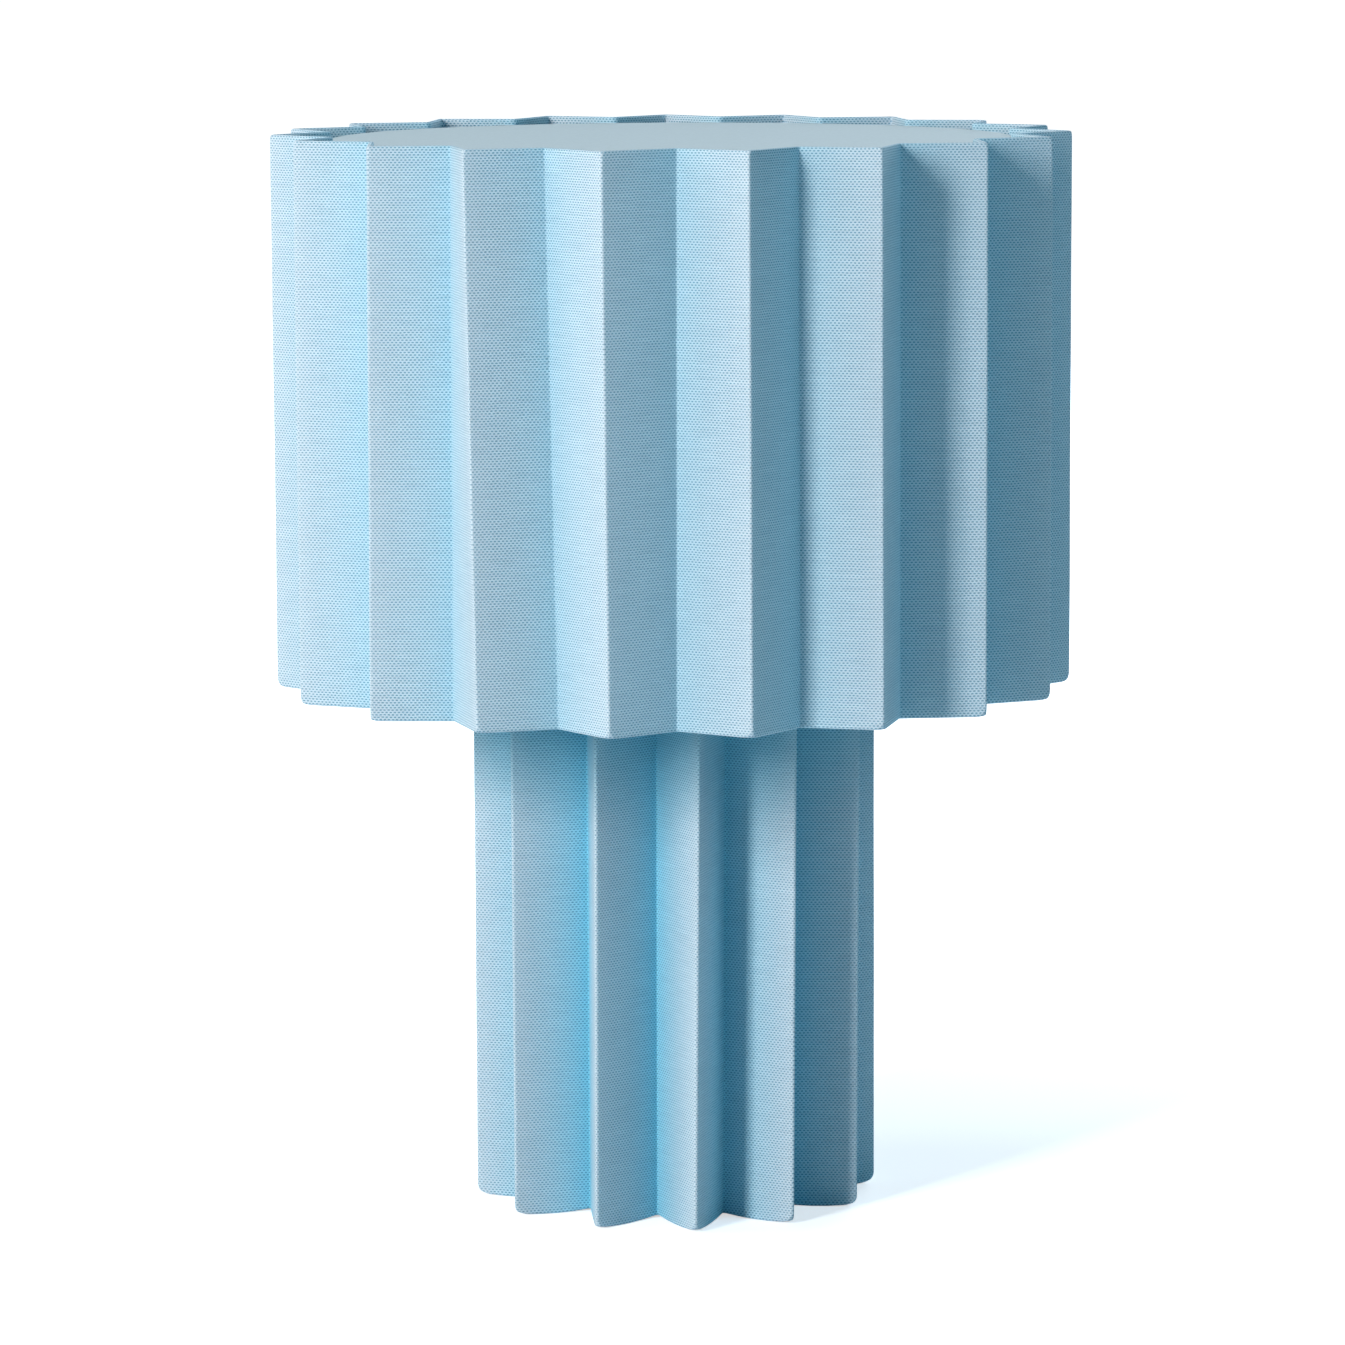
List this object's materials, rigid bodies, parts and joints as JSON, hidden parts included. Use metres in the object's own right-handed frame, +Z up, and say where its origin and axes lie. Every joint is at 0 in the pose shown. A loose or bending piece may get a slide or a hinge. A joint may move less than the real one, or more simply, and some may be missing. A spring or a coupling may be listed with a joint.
{
  "type": "table lamp",
  "caption": "Table lamp with a pleated fabric drum shade on a pleated star-shaped column, with a lift-out diffuser disc and a screw-in bulb.",
  "frame": {"origin": "on the table, on the lamp's vertical axis", "axes": "+Z up the lamp's axis; -Y towards the front, where the picture is taken from; the cord comes in at the back, near +Y"},
  "size_m": [0.3194, 0.3181, 0.432],
  "materials": {
    "light_blue_cloth": "matt woven cloth",
    "pale_liner": "matt sheet",
    "opal_acrylic": "satin",
    "white_wire": "powder coat",
    "white_moulding": "moulded",
    "holder_ceramic": "unglazed",
    "brass": "bright",
    "bulb_metal": "plated",
    "black_glass": "gloss",
    "opal_glass": "satin",
    "zinc_steel": "zinc plated",
    "steel_weight": "primer",
    "fibreboard": "cut board",
    "grey_felt": "felt",
    "white_bush": "matt"
  },
  "bodies": {
    "lamp": {"shade_fabric": "light_blue_cloth", "column_fabric": "light_blue_cloth", "shade_liner": "pale_liner", "column_liner": "pale_liner", "shade_top_ring": "white_wire", "shade_bottom_ring": "white_wire", "shade_arms": "white_wire", "shade_fitter": "white_wire", "shade_seat_ring": "white_moulding", "shade_clamp_ring": "white_moulding", "holder_cap": "white_moulding", "holder_skirt": "white_moulding", "holder_core": "holder_ceramic", "holder_screw_shell": "brass", "holder_contact": "brass", "terminal_screws": "brass", "stem_tube": "zinc_steel", "stem_nuts": "zinc_steel", "stem_washers": "zinc_steel", "weight_disc": "steel_weight", "bottom_board": "fibreboard", "column_top_plate": "fibreboard", "felt_pad": "grey_felt", "cord_bush": "white_bush"},
    "diffuser": {"top_diffuser": "opal_acrylic"},
    "bulb_tip": {"bulb_contact": "bulb_metal"},
    "bulb": {"bulb_insulator": "black_glass", "bulb_cap": "bulb_metal", "bulb_glass": "opal_glass"}
  },
  "joints": [
    {"name": "diffuser_lift", "type": "slide", "parent": "lamp", "child": "diffuser", "axis": [0, 0, 1], "range_m": [0, 0.05]},
    {"name": "bulb_rise", "type": "slide", "parent": "lamp", "child": "bulb_tip", "axis": [0, 0, 1], "range_m": [0, 0.0182]},
    {"name": "bulb_turn", "type": "hinge", "parent": "bulb_tip", "child": "bulb", "pos_m": [0, 0, 0.3], "axis": [0, 0, 1], "range_deg": [0, 1800]}
  ],
  "couplings": [
    {"joint": "bulb_rise", "follows": "bulb_turn", "m_per_rad": 0.00057757}
  ]
}
